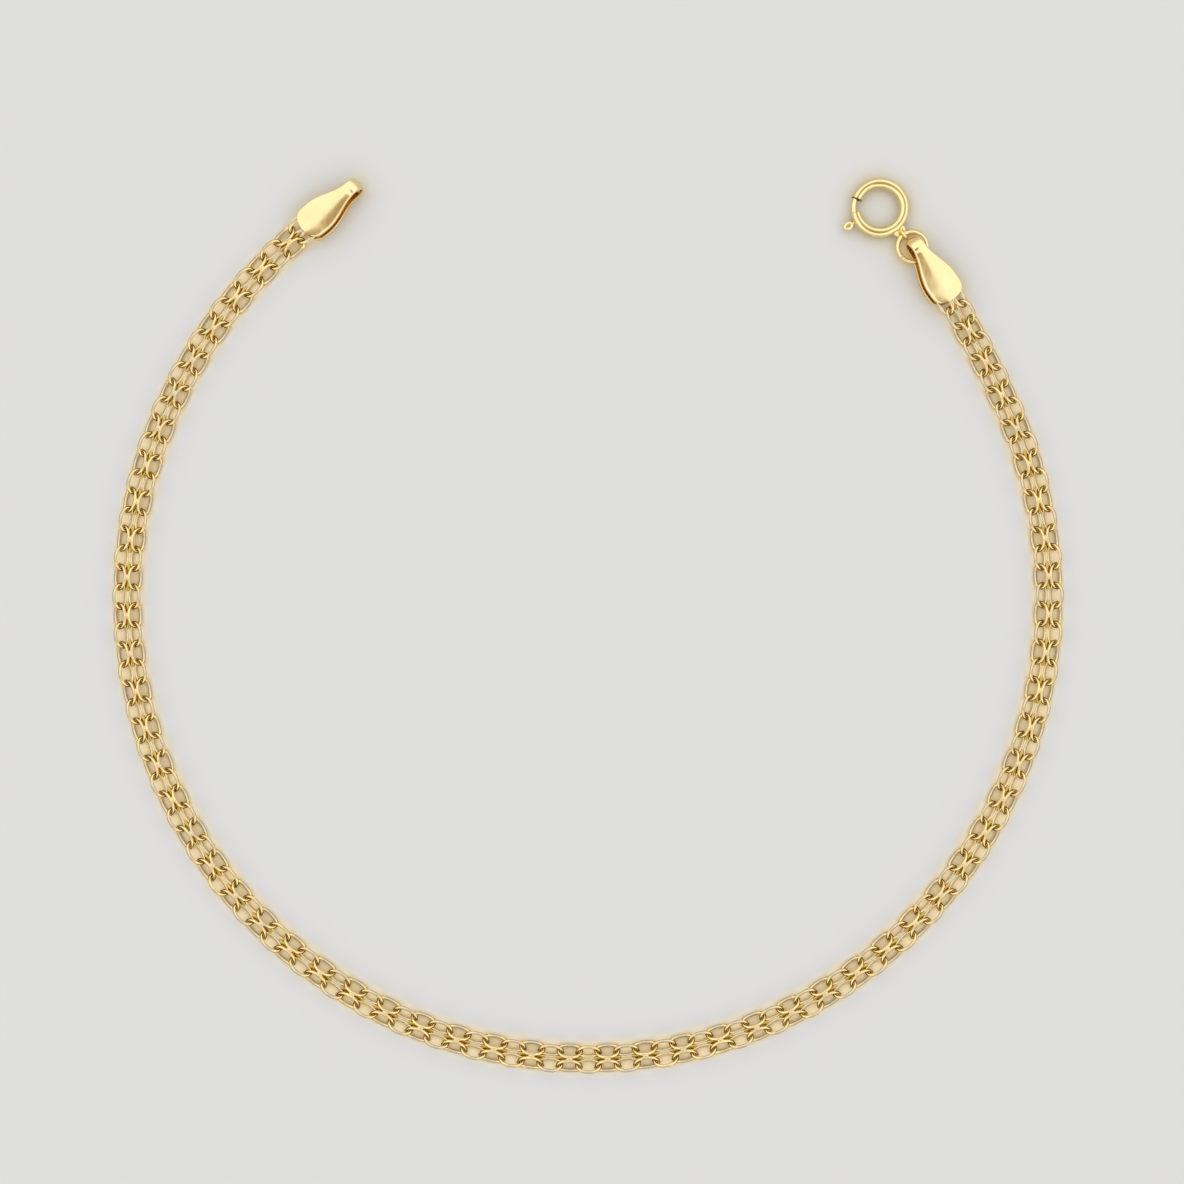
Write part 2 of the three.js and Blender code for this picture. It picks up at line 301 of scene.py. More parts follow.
chain = {
    "steps": 115,           # from pair to pair, mouth to mouth; the odd pairs are soldered at the top
    "pitch": 1.5092,
    "slackFrom": 103,       # the pairs bunch up a little from here to the clasp
    "slack": 0.76,
    "rowOffset": 0.565,     # middle of a row from the middle line
    "halfLong": 0.955,      # centre line of a link
    "halfAcross": 0.43,     # as seen from above
    "tipDrop": 0.27,        # how far a link's tips lie towards its lower side, as a share of its half width
    "topPower": 2.2,        # 2 is an ellipse, more has straighter sides
    "lowPower": 2.2,
    "wire": 0.27,
    "tilt": 35.5,
    "height": 0.92,
    "aroundLink": 14,
    "aroundWire": 5,
    "endReach": 3.2,        # over this stretch the chain rises and thins into a tag's mouth
    "endLift": 0.25,
    "endThin": 0.1,
    "unevenTilt": 0.7,      # degrees
    "unevenTone": 0.045,
    "crossingShade": 1.25,        # painted shade on the wire's flanks where links cross
    "tipPower": 2,
    "tipTurnShade": 0.36,        # and painted shade where the wire turns down at a tip
    "endPower": 8,
    "eyeShade": 0.3,      # and painted shade on the inside of each eye
    "waistSheen": 0.16,      # a painted highlight where the soldered wires meet
    "waistPower": 4,
    "highSheen": 0.28,       # a painted highlight pales the long sides, apart from the soldered ones
    "lowSheen": 0.42,
    "sharpDegrees": 75,
    "seed": 11,
}
solderAndShadeBeads = {
    "rings": 7,
    "sides": 8,
    "endShare": 0.12,       # how far round the half circle the end rings lie
    # each bead's half length, width and height, the height of its middle, its fullness and its tone:
    # where soldered wires meet, in the fork on each side of that as a dark bead of painted shade, and between
    # the other pairs' low wires
    "waist": {"halves": (0.27, 0.15, 0.07), "height": 0.82, "fullness": 1.0, "tone": 0.16},
    # a dark bead of painted shade in the forks, not solder
    "forkShade": {"halves": (1.12, 0.20, 0.05), "height": 0.40, "fullness": 0.5, "tone": -0.48},
    "groove": {"halves": (0.66, 0.10, 0.06), "height": 0.20, "fullness": 0.5, "tone": 0.16},
}


def pairPlaces():
    step = np.arange(chain["steps"] + 1)
    bunched = np.clip((step - chain["slackFrom"]) / (chain["steps"] - chain["slackFrom"]), 0, None)
    return step, step * chain["pitch"] - chain["slack"] * bunched ** 2


def intoMouths(along, height):
    # the height near each end, by a smoothstep: squeezed towards the half height and raised to the mouth
    fromEnd = np.minimum(along, laid["length"] - along)
    near = np.clip(1 - fromEnd / chain["endReach"], 0, 1)
    near = near * near * (3 - 2 * near)
    half = chain["height"] / 2
    return half + (height - half) * (1 - chain["endThin"] * near) + chain["endLift"] * near


def wireAngles(outwards):
    # angles round the wire from the link's outward normal, the first of them at the very top of the wire
    tilt = math.radians(chain["tilt"])
    top = np.arctan2(math.cos(tilt), outwards * math.sin(tilt))
    return top[:, None] + np.arange(chain["aroundWire"]) * fullTurn / chain["aroundWire"]


def linkPoints(rng):
    # each link is two superellipse halves that meet at its tips, swept by a round wire and tilted about the
    # row's own line; soldered pairs lean their top wires to the middle, the pairs between to the outside
    step, place = pairPlaces()
    side = np.array([1.0, -1.0])
    tilt = np.radians(chain["tilt"] + rng.normal(0, chain["unevenTilt"], (len(step), 2)))
    lean = np.where(step % 2 == 1, -1.0, 1.0)
    t = np.arange(chain["aroundLink"]) * fullTurn / chain["aroundLink"]
    long, radius = chain["halfLong"], chain["wire"] / 2
    wide = chain["halfAcross"] / math.cos(math.radians(chain["tilt"]))
    cosT, sinT = np.cos(t).round(9), np.sin(t).round(9)
    top = sinT >= 0
    power = 2 / np.where(top, chain["topPower"], chain["lowPower"])
    rise = wide * np.where(top, 1 + chain["tipDrop"], 1 - chain["tipDrop"])
    lineX = long * np.sign(cosT) * np.abs(cosT) ** power
    lineY = rise * np.sign(sinT) * np.abs(sinT) ** power - chain["tipDrop"] * wide
    normal = np.stack([np.sign(cosT) * np.abs(cosT) ** (2 - power) / long,
                       np.sign(sinT) * np.abs(sinT) ** (2 - power) / rise])
    normal = normal / np.linalg.norm(normal, axis=0)
    q = wireAngles(normal[1])
    x = lineX[:, None] + radius * np.cos(q) * normal[0][:, None]
    y = lineY[:, None] + radius * np.cos(q) * normal[1][:, None]
    w = radius * np.sin(q)
    cosTilt, sinTilt = np.cos(tilt)[:, :, None, None], np.sin(tilt)[:, :, None, None]
    lean = lean[:, None, None, None]
    along = place[:, None, None, None] + np.broadcast_to(x, (len(step), 2, *x.shape))
    out = chain["rowOffset"] + lean * (y * cosTilt - w * sinTilt)
    height = chain["height"] / 2 + y * sinTilt + w * cosTilt
    return onRoute(along, out * side[None, :, None, None], intoMouths(along, height))


def linkTones(rng):
    # the wire's top is left bright; painted shade darkens its flanks near the tips, where it turns down at a
    # tip, and inside the eyes; a painted highlight pales the long sides, on the soldered pairs only at their
    # waists; each link also gets a small random tone
    t = np.arange(chain["aroundLink"])[:, None] * fullTurn / chain["aroundLink"]
    fromTop = np.arange(chain["aroundWire"]) * fullTurn / chain["aroundWire"]
    flank = np.sqrt(1 - np.clip(np.cos(fromTop), 0, 1))
    tip, high, low = np.abs(np.cos(t)), np.clip(np.sin(t), 0, 1), np.clip(-np.sin(t), 0, 1)
    inside = np.clip(-np.cos(wireAngles(np.sin(t)[:, 0])), 0, 1)
    # painted shade on the wire's flanks near the tips, where it turns down at a tip, and inside the eyes
    dark = np.maximum(flank * tip ** chain["tipPower"] * chain["crossingShade"], inside * chain["eyeShade"])
    dark = dark + chain["tipTurnShade"] * tip ** chain["endPower"]
    soldered = (np.arange(chain["steps"] + 1) % 2)[:, None, None, None]
    # painted highlight: the long sides paler, on the soldered pairs only near the waist
    wearAndSheen = np.where(soldered, chain["waistSheen"] * high ** chain["waistPower"], chain["highSheen"] * high)
    wearAndSheen = wearAndSheen + chain["lowSheen"] * low
    uneven = rng.normal(0, chain["unevenTone"], (chain["steps"] + 1, 2, 1, 1))
    return (uneven - dark + wearAndSheen).reshape(-1)


def linkFaces(points):
    # one link's quads, repeated down the chain and turned over where a link faces inwards
    count = chain["aroundLink"] * chain["aroundWire"]
    quads = gridQuads(chain["aroundLink"], chain["aroundWire"], closeRows=True)
    flat = points.reshape(-1, count, 3)
    turned = [quads if facesOutwards(flat[row], quads) else quads[:, ::-1] for row in (0, 1)]
    pairs = len(flat) // 2
    both = np.stack(turned * pairs).reshape(len(flat), -1, 4)
    return (both + (np.arange(len(flat)) * count)[:, None, None]).reshape(-1, 4)


def beadShells(bead, places):
    # a bead along the middle line at each place, of solder or of painted shade: rings whose size is a power
    # of a half circle's
    v = np.linspace(solderAndShadeBeads["endShare"], 1 - solderAndShadeBeads["endShare"], solderAndShadeBeads["rings"]) * math.pi
    u = np.arange(solderAndShadeBeads["sides"]) * fullTurn / solderAndShadeBeads["sides"]
    long, wide, thick = bead["halves"]
    size = np.sin(v)[:, None] ** bead["fullness"]
    x = np.broadcast_to(long * np.cos(v)[:, None], (len(v), len(u)))
    y = wide * size * np.cos(u)
    z = bead["height"] + thick * size * np.sin(u)
    return [shell(onRoute(middle + x, y, intoMouths(middle + x, z))) for middle in places]


def makeChain():
    rng = np.random.default_rng(chain["seed"])
    links = linkPoints(rng)
    shells = [(links.reshape(-1, 3), linkFaces(links), [])]
    tones = [linkTones(rng)]
    place = pairPlaces()[1]
    for name, places in (("waist", place[1::2]), ("forkShade", place[1:-1:2]), ("groove", place[2:-1:2])):
        beads = beadShells(solderAndShadeBeads[name], places)
        shells += beads
        tones.append(np.full(sum(len(bead[0]) for bead in beads), solderAndShadeBeads[name]["tone"]))
    points, faces = joined(shells)
    return makePiece("chainLinks", points, faces, chainGold, "bracelet", "chain",
                     tone=np.concatenate(tones), sharpDegrees=chain["sharpDegrees"])


makeChain()


# the folded tags

tag = {
    "length": 5.75,
    "sheet": 0.22,
    "loopHeight": 1.95,
    "wide": 1.345,          # half widths
    "mouth": 1.02,
    "neck": 0.56,
    "tip": 0.51,
    "lowerWider": 0.12,     # the lower leaf shows past the upper one
    "cornerReach": 1.2,     # from the mouth
    "widestAt": 1.5,
    "neckAt": 4.9,
    "creaseAt": 4.45,       # where the leaf ends and the loop starts
    "creaseFall": 0.14,     # how far the top leaf comes down from the loop to the crease
    "leafFall": 0.26,       # and from there to where it runs level
    "levelTo": 1.2,
    "neckCrown": 0.08,
    "leafCrown": 0.10,      # more crown where the top leaf is wide
    "lowCrown": 0.06,
    "mouthBulge": 0.28,
    "mouthBack": 0.2,
    "bulgeReach": 1.2,
    "catchTurn": 0,         # degrees off the line of the chain's end
    "claspTurn": 2.8,
    # painted shade on the sheet's faces inside the fold
    "foldShade": -0.4,
    "mouthInside": 0.25,    # share of it at the mouth
    "leafPower": 1.5,       # how sharply the leaf levels off
    "leafStations": 30,
    "stationPower": 1.25,   # above 1, more of them near the mouth
    "loopStations": 22,
    "acrossFlat": 15,
    "acrossEdge": 5,
    "sharpDegrees": 50,
}


def tagHalfWidth(x):
    # wide at the leaf, a cosine down to the neck, drawn in a little at the mouth's corners and at the tip
    ease = np.clip((x - tag["widestAt"]) / (tag["neckAt"] - tag["widestAt"]), 0, 1)
    leaf = tag["neck"] + (tag["wide"] - tag["neck"]) * (0.5 + 0.5 * np.cos(math.pi * ease))
    corner = np.clip(1 - x / tag["cornerReach"], 0, 1) ** 3
    tip = np.clip((x - tag["neckAt"]) / (tag["length"] - tag["neckAt"]), 0, 1) ** 2
    return leaf - (tag["wide"] - tag["mouth"]) * corner - (tag["neck"] - tag["tip"]) * tip


def tagPath():
    # the middle of the sheet seen from the side: lower leaf, half circle, upper leaf; with the outward normal
    half = tag["sheet"] / 2
    outer = tag["loopHeight"] / 2
    bend = tag["length"] - outer
    run = np.linspace(0, 1, tag["leafStations"]) ** tag["stationPower"] * bend
    arc = np.linspace(-math.pi / 2, math.pi / 2, tag["loopStations"])[1:-1]
    back = run[::-1]
    toLoop = np.clip((back - tag["creaseAt"]) / (bend - tag["creaseAt"]), 0, 1)
    toCrease = np.clip((back - tag["levelTo"]) / (tag["creaseAt"] - tag["levelTo"]), 0, 1)
    drop = tag["creaseFall"] * (0.5 + 0.5 * np.cos(math.pi * toLoop))
    drop = drop + tag["leafFall"] * (1 - toCrease ** tag["leafPower"])
    x = np.concatenate([run, bend + (outer - half) * np.cos(arc), back])
    loop = outer + (outer - half) * np.sin(arc)
    z = np.concatenate([np.full(len(run), half), loop, 2 * outer - half - drop])
    tangent = np.stack([np.gradient(x), np.gradient(z)], -1)
    tangent /= np.linalg.norm(tangent, axis=-1, keepdims=True)
    normal = np.stack([tangent[:, 1], -tangent[:, 0]], -1)
    top = np.concatenate([np.zeros(len(run)), np.linspace(0, 1, len(arc)), np.ones(len(run))])
    return x, z, normal, top


def tagGrid():
    # a flat strip with round edges, carried along the path and crowned: it falls away with the square of the
    # distance from its middle line
    x, z, normal, top = tagPath()
    half = tag["sheet"] / 2
    flat = np.linspace(-1, 1, tag["acrossFlat"])
    edge = np.linspace(math.pi / 2, -math.pi / 2, tag["acrossEdge"] + 2)[1:-1]
    straight = np.concatenate([flat, np.ones(len(edge)), flat[::-1], -np.ones(len(edge))])
    bow = np.concatenate([np.zeros(len(flat)), np.cos(edge), np.zeros(len(flat)), -np.cos(edge)])
    rise = np.concatenate([np.ones(len(flat)), np.sin(edge), -np.ones(len(flat)), -np.sin(edge)])
    width = (tagHalfWidth(x) + tag["lowerWider"] * (1 - top))[:, None]
    across = (width - half) * straight + half * bow
    share = across / width
    wideness = (width - tag["neck"]) / (tag["wide"] - tag["neck"])
    topCrown = tag["neckCrown"] - tag["lowCrown"] + tag["leafCrown"] * wideness
    crown = tag["lowCrown"] + top[:, None] * topCrown
    lift = half * rise - crown * share ** 2
    nearMouth = np.clip(1 - x / tag["bulgeReach"], 0, 1)[:, None] ** 2
    bulge = nearMouth * (tag["mouthBulge"] * (1 - share ** 2) - tag["mouthBack"])
    alongTag = x[:, None] + lift * normal[:, :1] - bulge
    height = z[:, None] + lift * normal[:, 1:]
    # painted shade on the faces inside the fold, less of it near the mouth
    deep = tag["mouthInside"] + (1 - tag["mouthInside"]) * np.clip(x / tag["neckAt"], 0, 1)
    inside = np.clip(-rise, 0, 1) * deep[:, None]
    return np.stack([alongTag, across, height], -1), tag["foldShade"] * inside


def placed(grid, origin, heading):
    # turned about the vertical and moved to its place
    cos, sin = math.cos(heading), math.sin(heading)
    x = origin[0] + grid[..., 0] * cos - grid[..., 1] * sin
    y = origin[1] + grid[..., 0] * sin + grid[..., 1] * cos
    return np.stack([x, y, origin[2] + grid[..., 2]], -1)


def stripCaps(shellParts):
    # the two mouth edges as strips of quads between the sheet's faces, so that they follow the crown
    points, quads, caps = shellParts
    flat, edge = tag["acrossFlat"], tag["acrossEdge"]
    strips = []
    for cap in caps:
        ring = np.sort(cap)
        top = ring[:flat]
        bottom = ring[flat + edge: 2 * flat + edge][::-1]
        band = np.stack([top[:-1], top[1:], bottom[1:], bottom[:-1]], -1)
        right = [top[-1], *ring[flat: flat + edge], bottom[-1]]
        left = [bottom[0], *ring[2 * flat + edge:], top[0]]
        faces = band.tolist() + [right, left]
        turned = cap[0] > cap[-1]
        strips += [face[::-1] for face in faces] if turned else faces
    return points, quads, strips


def makeTag(name, node, along, turnDegrees, forwards):
    heading = headingOnRoute(along) + (0 if forwards else math.pi) + math.radians(turnDegrees)
    mouth = onRoute(np.array([along]), 0.0, 0.0)[0]
    grid, tone = tagGrid()
    points, faces = joined([stripCaps(shell(placed(grid, mouth, heading)))])
    return makePiece(name, points, faces, tagGold, "bracelet", node,
                     tone=tone.reshape(-1), sharpDegrees=tag["sharpDegrees"])


catchTag = makeTag("catchTag", "catch_tag", 0.0, tag["catchTurn"], forwards=False)
claspTag = makeTag("claspTag", "clasp_tag", laid["length"], tag["claspTurn"], forwards=True)


# the rings

jumpRing = {
    "radius": 1.16,
    "wire": 0.38,
    "cutAt": 226,           # degrees round the ring from +X
    "cutDegrees": 4.5,
    "shift": (-0.06, 0, 0),
    "steps": 64,
    "sides": 14,
}
springRing = {
    "radius": 1.945,
    "tube": 0.43,
    "wall": 0.06,
    "gap": (160, 191),      # degrees round the ring from +X
    "slot": (203, 254),
    "sides": 26,
    "steps": (5, 18, 84),   # from gap to slot, along the slot, and round to the gap
    "slotSides": 3,
    "eyeletAt": 310.5,
    "eyelet": 0.43,
    "eyeletWire": 0.25,
    "eyeletReach": 2.805,
    "eyeletSteps": 36,
    "eyeletSides": 12,
    "lug": (0.36, 0.28, 0.26),
    "lugSpread": 0.3,
    "darkReflectionAt": 90,             # degrees round the tube from its outer side: a thin dark line of painted reflection along the tube's top
    "darkReflectionTone": -0.65,
    # painted shade at the tube's open ends
    "tubeEndShade": -0.75,
    "bore": (0.245, 0.34),  # a washer of painted shade for the hollow that shows at the tube's ends
    "boreInset": 1.5,       # degrees
    "boreDeep": 0.01,       # radians
    "boreSides": 20,
}
trigger = {
    "gateRadius": 2.07,
    "gateWire": 0.44,
    "gate": (155, 216),
    "at": 210,
    "loopReach": 2.865,
    "loopHalves": (0.31, 0.22),
    "loopWire": 0.31,
    "stem": (2.0, 2.54),
    "stemWire": 0.2,
    "gateFacets": (28, 14),     # steps along and sides around
    "loopFacets": (28, 12),
    "stemFacets": (6, 10),
}
roundEnd = (80, 60, 40, 20)     # degrees of the quarter circle at which a round end has its rings


def arcTube(radius, wire, start, stop, steps, sides, roundEnds=False):
    # a circle of radius wire/2 carried round the Z axis; round ends shrink it along a quarter circle
    r = wire / 2
    angle = np.radians(np.linspace(start, stop, steps))
    size = np.full(steps, r)
    if roundEnds:
        ease = np.radians(roundEnd)
        inset = r / radius * np.sin(ease)
        angle = np.concatenate([angle[0] - inset, angle, (angle[-1] + inset)[::-1]])
        size = np.concatenate([r * np.cos(ease), size, (r * np.cos(ease))[::-1]])
    v = (np.arange(sides) + 0.5) * fullTurn / sides
    reach = radius + size[:, None] * np.cos(v)
    x = reach * np.cos(angle)[:, None]
    y = reach * np.sin(angle)[:, None]
    return np.stack([x, y, size[:, None] * np.sin(v)], -1)


def ellipseTube(halves, wire, steps, sides):
    # a round wire bent to an ellipse in the XY plane
    t = np.arange(steps) * fullTurn / steps
    v = np.arange(sides) * fullTurn / sides
    normal = np.stack([halves[1] * np.cos(t), halves[0] * np.sin(t)])
    normal = normal / np.linalg.norm(normal, axis=0)
    r = wire / 2
    x = halves[0] * np.cos(t)[:, None] + r * np.cos(v) * normal[0][:, None]
    y = halves[1] * np.sin(t)[:, None] + r * np.cos(v) * normal[1][:, None]
    return np.stack([x, y, np.broadcast_to(r * np.sin(v), x.shape)], -1)


def blob(halves, rings=10, sides=16, endShare=0.06):
    # an ellipsoid as rings along X
    v = np.linspace(endShare, 1 - endShare, rings) * math.pi
    u = np.arange(sides) * fullTurn / sides
    x = np.broadcast_to(halves[0] * np.cos(v)[:, None], (rings, sides))
    y = halves[1] * np.sin(v)[:, None] * np.cos(u)
    z = halves[2] * np.sin(v)[:, None] * np.sin(u)
    return np.stack([x, y, z], -1)


jumpMiddle = np.mean(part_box("jump_ring"), axis=0) / mm + np.array(jumpRing["shift"])


def makeJumpRing():
    half = jumpRing["cutDegrees"] / 2
    grid = arcTube(jumpRing["radius"], jumpRing["wire"], jumpRing["cutAt"] + half,
                   jumpRing["cutAt"] + 360 - half, jumpRing["steps"], jumpRing["sides"])
    points, faces = joined([shell(grid + jumpMiddle)])
    return makePiece("jumpRing", points, faces, tagGold, "bracelet", "jump_ring")


claspMiddle = np.array(frame["joints"][0]["pos_m"]) / mm


def tubeSkin():
    # the tube's outer skin with the faces of the slot left out, for a wall to be grown inwards
    gapFrom, gapTo = springRing["gap"]
    slotFrom, slotTo = springRing["slot"]
    toSlot, alongSlot, toGap = springRing["steps"]
    angle = np.radians(np.concatenate([
        np.linspace(gapTo, slotFrom, toSlot), np.linspace(slotFrom, slotTo, alongSlot)[1:],
        np.linspace(slotTo, gapFrom + 360, toGap)[1:]]))
    sides = springRing["sides"]
    v = (np.arange(sides) + 0.5) * fullTurn / sides
    reach = springRing["radius"] + springRing["tube"] * np.cos(v)
    height = np.broadcast_to(springRing["tube"] * np.sin(v), (len(angle), sides))
    grid = np.stack([reach * np.cos(angle)[:, None], reach * np.sin(angle)[:, None], height], -1)
    quads = gridQuads(len(angle), sides)
    points = grid.reshape(-1, 3)
    if not facesOutwards(points, quads):
        quads = quads[:, ::-1]
    middle = points[quads].mean(1)
    around = np.degrees(np.arctan2(middle[:, 1], middle[:, 0])) % 360
    equator = np.arctan2(middle[:, 2], np.hypot(middle[:, 0], middle[:, 1]) - springRing["radius"])
    slotHalf = springRing["slotSides"] / 2 * fullTurn / sides
    inSlot = (around > slotFrom) & (around < slotTo) & (np.abs(equator) < slotHalf)
    # a thin dark line of painted reflection along the tube's top
    fromDarkReflection = np.abs(np.degrees(v) - springRing["darkReflectionAt"]) / (360 / sides)
    tone = np.tile(springRing["darkReflectionTone"] * np.clip(1 - fromDarkReflection, 0, 1), (len(angle), 1))
    # painted shade on the last ring, at the tube's open end
    tone[-1] = springRing["tubeEndShade"]
    return points + claspMiddle, quads[~inSlot], tone.reshape(-1)


def boreShells():
    # a flat dark washer of painted shade just inside each end of the tube, clear of the gate
    gapFrom, gapTo = springRing["gap"]
    v = np.arange(springRing["boreSides"]) * fullTurn / springRing["boreSides"]
    deep = springRing["boreDeep"]
    for degrees in (gapFrom - springRing["boreInset"], gapTo + springRing["boreInset"]):
        inner, outer = springRing["bore"]
        size = np.array([inner, outer, outer, inner])[:, None]
        turn = np.radians(degrees) + np.array([0, 0, deep, deep])[:, None]
        reach = springRing["radius"] + size * np.cos(v)
        height = size * np.sin(v)
        grid = np.stack([reach * np.cos(turn), reach * np.sin(turn), height], -1)
        yield shell(grid + claspMiddle, closeRows=True)


def eyeletShells():
    # an upright ring on the tube's outside, with a lug of solder at each side of its foot
    heading = math.radians(springRing["eyeletAt"])
    halves = (springRing["eyelet"], springRing["eyelet"])
    flat = ellipseTube(halves, springRing["eyeletWire"], springRing["eyeletSteps"], springRing["eyeletSides"])
    upright = flat[..., [0, 2, 1]] + np.array([springRing["eyeletReach"], 0, 0])
    foot = springRing["radius"] + springRing["tube"]
    lugs = [blob(springRing["lug"]) + np.array([foot, side * springRing["lugSpread"], 0]) for side in (-1, 1)]
    return [shell(placed(upright, claspMiddle, heading), closeRows=True),
            *(shell(placed(lug, claspMiddle, heading)) for lug in lugs)]


def makeSpringRing():
    points, quads, tone = tubeSkin()
    ring = makePiece("springRing", points, quads.tolist(), claspGold, "bracelet", "spring_ring",
                     tone=tone)
    wall = ring.modifiers.new("wall", "SOLIDIFY")
    wall.thickness = springRing["wall"] * mm
    wall.offset = -1
    points, faces = joined(eyeletShells())
    makePiece("eyelet", points, faces, claspGold, "bracelet", "spring_ring")
    # dark washers of painted shade inside the tube's ends
    points, faces = joined(boreShells())
    makePiece("boreShadeWashers", points, faces, claspGold, "bracelet", "spring_ring",
              tone=springRing["tubeEndShade"])
    return ring


def makeTrigger():
    heading = math.radians(trigger["at"])
    gate = arcTube(trigger["gateRadius"], trigger["gateWire"], *trigger["gate"], *trigger["gateFacets"],
                   roundEnds=True) + claspMiddle
    loop = ellipseTube(trigger["loopHalves"], trigger["loopWire"], *trigger["loopFacets"])
    loop = placed(loop + np.array([trigger["loopReach"], 0, 0]), claspMiddle, heading)
    steps, sides = trigger["stemFacets"]
    v = np.arange(sides) * fullTurn / sides
    reach = np.linspace(*trigger["stem"], steps)[:, None]
    size = trigger["stemWire"] / 2
    stem = np.stack(np.broadcast_arrays(reach, size * np.cos(v), size * np.sin(v)), -1)
    stem = placed(stem, claspMiddle, heading)
    points, faces = joined([shell(gate), shell(loop, closeRows=True), shell(stem)])
    return makePiece("triggerGate", points, faces, claspGold, "trigger", "trigger")


endPieces = [catchTag, claspTag, makeJumpRing(), makeSpringRing()]
makeTrigger()


# floor, light and camera

studio = {
    # the floor's rings of points: nearest, furthest and count, inside the chain, under it and beyond
    "floorInside": (1, 32, 8),
    "floorUnder": (33, 42, 46),
    "floorBeyond": (44, 900, 14),
    "floorSpokes": 300,
    "floorLevel": -0.01,
    "floorRough": 0.55,
    "floorShine": 0.2,
    "floorColour": (0.60, 0.602, 0.602),
    # painted glow of light reflected from the gold onto the floor
    "glowColour": (0.95, 0.77, 0.45),
    "glowReach": 1.25,
    "glowPower": 4,
    "glowStations": 700,
    "endGlowColour": (0.635, 0.58, 0.45),  # a fainter painted glow of reflected light under the tags and rings
    "endGlowReach": 0.65,
    "endGlowEvery": 9,         # one in so many of the pieces' points is enough
    # light by height: the sine of the angle above the horizon, and the colour there
    "sky": ((0.0, (0.50, 0.49, 0.48)), (0.30, (0.58, 0.57, 0.56)), (0.50, (0.90, 0.90, 0.90)),
            (0.60, (1.0, 1.0, 1.0))),
    "skyStrength": 1.4,
    # a darker round patch of the sky, which the tags mirror as a streak
    "shadeColour": (0.36, 0.29, 0.18),
    "shadeOff": 16.5,       # degrees from the zenith
    "shadeReach": (13, 16.5),   # degrees from its middle to where it starts to fade and where it ends
    "cameraHeight": 190,
    "cameraSees": (1, 5000),    # nearest and furthest
    "frameWidth": 93.52,    # what the picture spans at the chain's half height
    "aimFromLoop": (0.316, 0.474),
}


def chainGlowUnder(points):
    # painted glow of the gold's reflected light on the floor, under the chain and inside the jump ring:
    # exp(-(gap / reach) ^ power)
    along = np.linspace(0, laid["length"], studio["glowStations"])
    line = np.concatenate([onRoute(along, np.zeros(len(along)), 0.0), [jumpMiddle]])[:, :2]
    gap = np.linalg.norm(points[:, None, :2] - line[None], axis=-1).min(1)
    return np.exp(-((gap / studio["glowReach"]) ** studio["glowPower"]))


def endGlowUnder(points):
    # a fainter painted glow of reflected light round the tags and rings, from some of their own points:
    # exp(-gap / reach)
    line = []
    for piece in endPieces:
        corners = np.empty(3 * len(piece.data.vertices))
        piece.data.vertices.foreach_get("co", corners)
        line.append(corners.reshape(-1, 3)[::studio["endGlowEvery"], :2] / mm)
    gap = [np.linalg.norm(points[:, None, :2] - part[None], axis=-1).min(1) for part in line]
    return np.exp(-np.min(gap, axis=0) / studio["endGlowReach"])


def makeFloor():
    # rings of points round the loop's middle, close together where the chain lies
    reach = np.concatenate([np.linspace(*studio["floorInside"]), np.linspace(*studio["floorUnder"]),
                            np.geomspace(*studio["floorBeyond"])])
    turn = np.arange(studio["floorSpokes"]) * fullTurn / studio["floorSpokes"]
    x = laid["middle"][0] + reach[:, None] * np.cos(turn)
    y = laid["middle"][1] + reach[:, None] * np.sin(turn)
    points = np.stack([x, y, np.full(x.shape, studio["floorLevel"])], -1).reshape(-1, 3)
    faces = gridQuads(len(reach), len(turn))[:, ::-1].tolist() + [list(range(len(turn)))]
    mesh = bpy.data.meshes.new("floor")
    mesh.from_pydata((points * mm).tolist(), [], faces)
    setAttribute(mesh, "chainGlow", chainGlowUnder(points))
    setAttribute(mesh, "endGlow", endGlowUnder(points))
    floor = bpy.data.objects.new("floor", mesh)
    bpy.context.scene.collection.objects.link(floor)
    material = bpy.data.materials.new("paleFloor")
    material.use_nodes = True
    tree = material.node_tree
    surface = tree.nodes["Principled BSDF"]
    surface.inputs["Roughness"].default_value = studio["floorRough"]
    surface.inputs["Specular IOR Level"].default_value = studio["floorShine"]
    # the floor's colour with painted glows of the gold's reflected light mixed in
    endGlow = addNode(tree, "ShaderNodeAttribute", attribute_name="endGlow")
    chainGlow = addNode(tree, "ShaderNodeAttribute", attribute_name="chainGlow")
    endGlowed = addNode(tree, "ShaderNodeMix", data_type="RGBA")
    endGlowed.inputs["A"].default_value = (*studio["floorColour"], 1)
    endGlowed.inputs["B"].default_value = (*studio["endGlowColour"], 1)
    glowing = addNode(tree, "ShaderNodeMix", data_type="RGBA")
    glowing.inputs["B"].default_value = (*studio["glowColour"], 1)
    link = tree.links.new
    link(endGlow.outputs["Fac"], endGlowed.inputs["Factor"])
    link(endGlowed.outputs["Result"], glowing.inputs["A"])
    link(chainGlow.outputs["Fac"], glowing.inputs["Factor"])
    link(glowing.outputs["Result"], surface.inputs["Base Color"])
    mesh.materials.append(material)


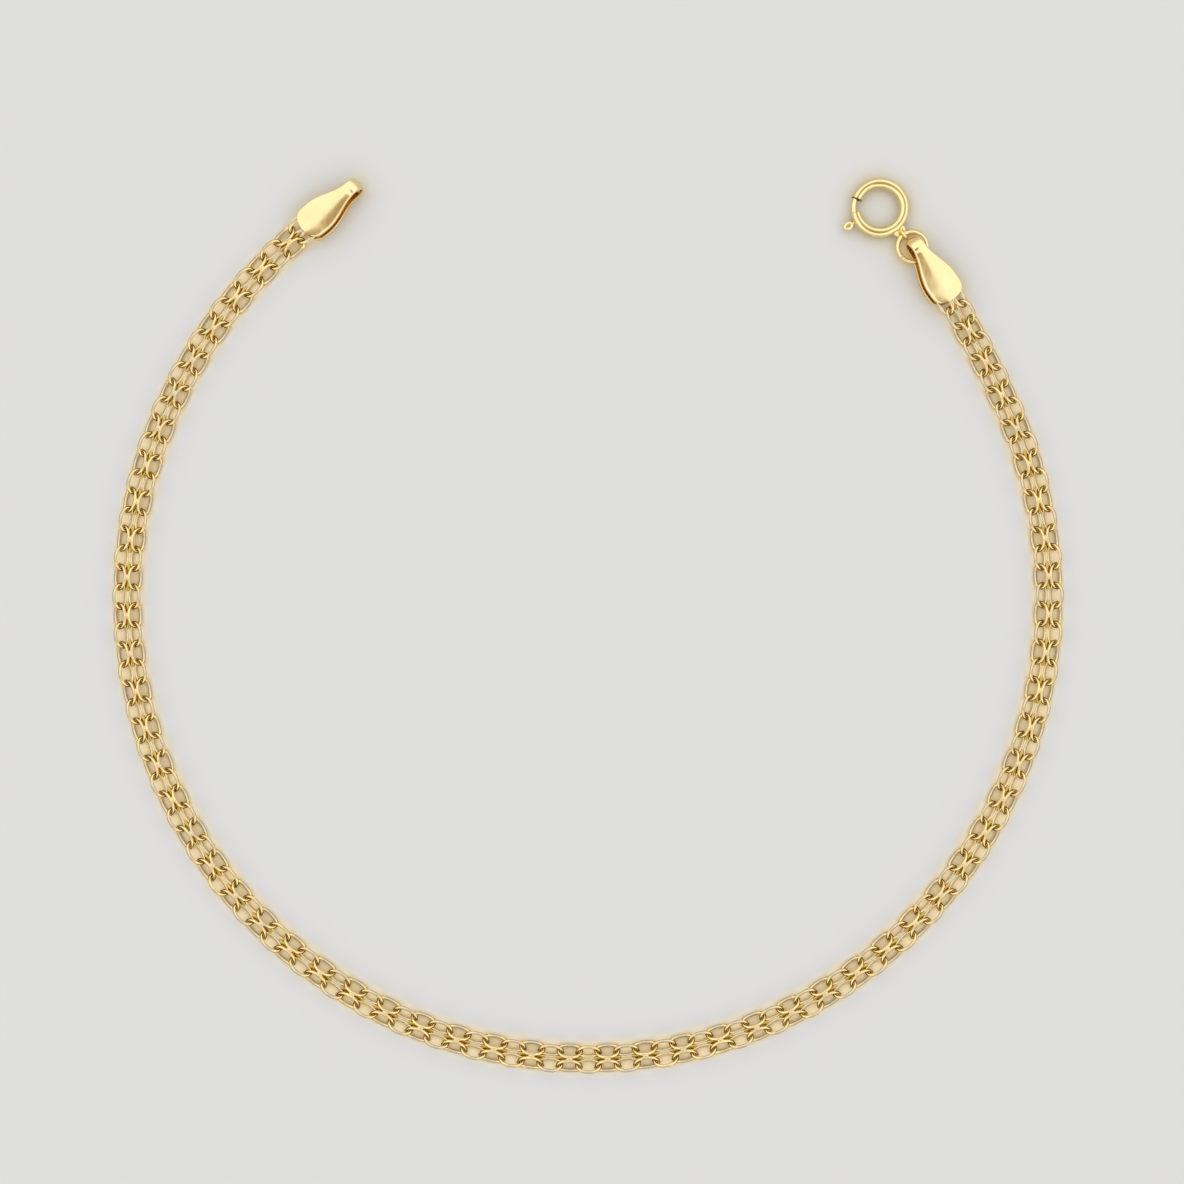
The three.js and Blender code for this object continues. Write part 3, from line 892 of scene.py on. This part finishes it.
def makeLight():
    # a soft room: bright above, dimmer towards the horizon, with one darker patch near the zenith
    world = bpy.data.worlds.new("softRoom")
    world.use_nodes = True
    tree = world.node_tree
    direction = addNode(tree, "ShaderNodeTexCoord")
    parts = addNode(tree, "ShaderNodeSeparateXYZ")
    ramp = addNode(tree, "ShaderNodeValToRGB")
    setStops(ramp, studio["sky"])
    off = math.radians(studio["shadeOff"])
    nearShade = addNode(tree, "ShaderNodeVectorMath", operation="DOT_PRODUCT")
    nearShade.inputs[1].default_value = (0, -math.sin(off), math.cos(off))
    edge = addNode(tree, "ShaderNodeMapRange", interpolation_type="SMOOTHSTEP")
    full, none = (math.cos(math.radians(degrees)) for degrees in studio["shadeReach"])
    edge.inputs["From Min"].default_value = none
    edge.inputs["From Max"].default_value = full
    shaded = addNode(tree, "ShaderNodeMix", data_type="RGBA")
    shaded.inputs["B"].default_value = (*studio["shadeColour"], 1)
    sky = tree.nodes["Background"]
    sky.inputs["Strength"].default_value = studio["skyStrength"]
    link = tree.links.new
    link(direction.outputs["Generated"], parts.inputs["Vector"])
    link(direction.outputs["Generated"], nearShade.inputs[0])
    link(parts.outputs["Z"], ramp.inputs["Fac"])
    link(nearShade.outputs["Value"], edge.inputs["Value"])
    link(edge.outputs["Result"], shaded.inputs["Factor"])
    link(ramp.outputs["Color"], shaded.inputs["A"])
    link(shaded.outputs["Result"], sky.inputs["Color"])
    bpy.context.scene.world = world
    bpy.context.scene.view_settings.view_transform = "Standard"


def makeCamera(middle):
    lens = bpy.data.cameras.new("overhead")
    lens.clip_start, lens.clip_end = (reach * mm for reach in studio["cameraSees"])
    distance = studio["cameraHeight"] - chain["height"] / 2
    lens.angle = 2 * math.atan(studio["frameWidth"] / 2 / distance)
    camera = bpy.data.objects.new("overhead", lens)
    camera.location = (middle[0] * mm, middle[1] * mm, studio["cameraHeight"] * mm)
    bpy.context.scene.collection.objects.link(camera)
    bpy.context.scene.camera = camera


pictureMiddle = laid["middle"] + np.array(studio["aimFromLoop"])
makeFloor()
makeLight()
makeCamera(pictureMiddle)
print("studio ready")
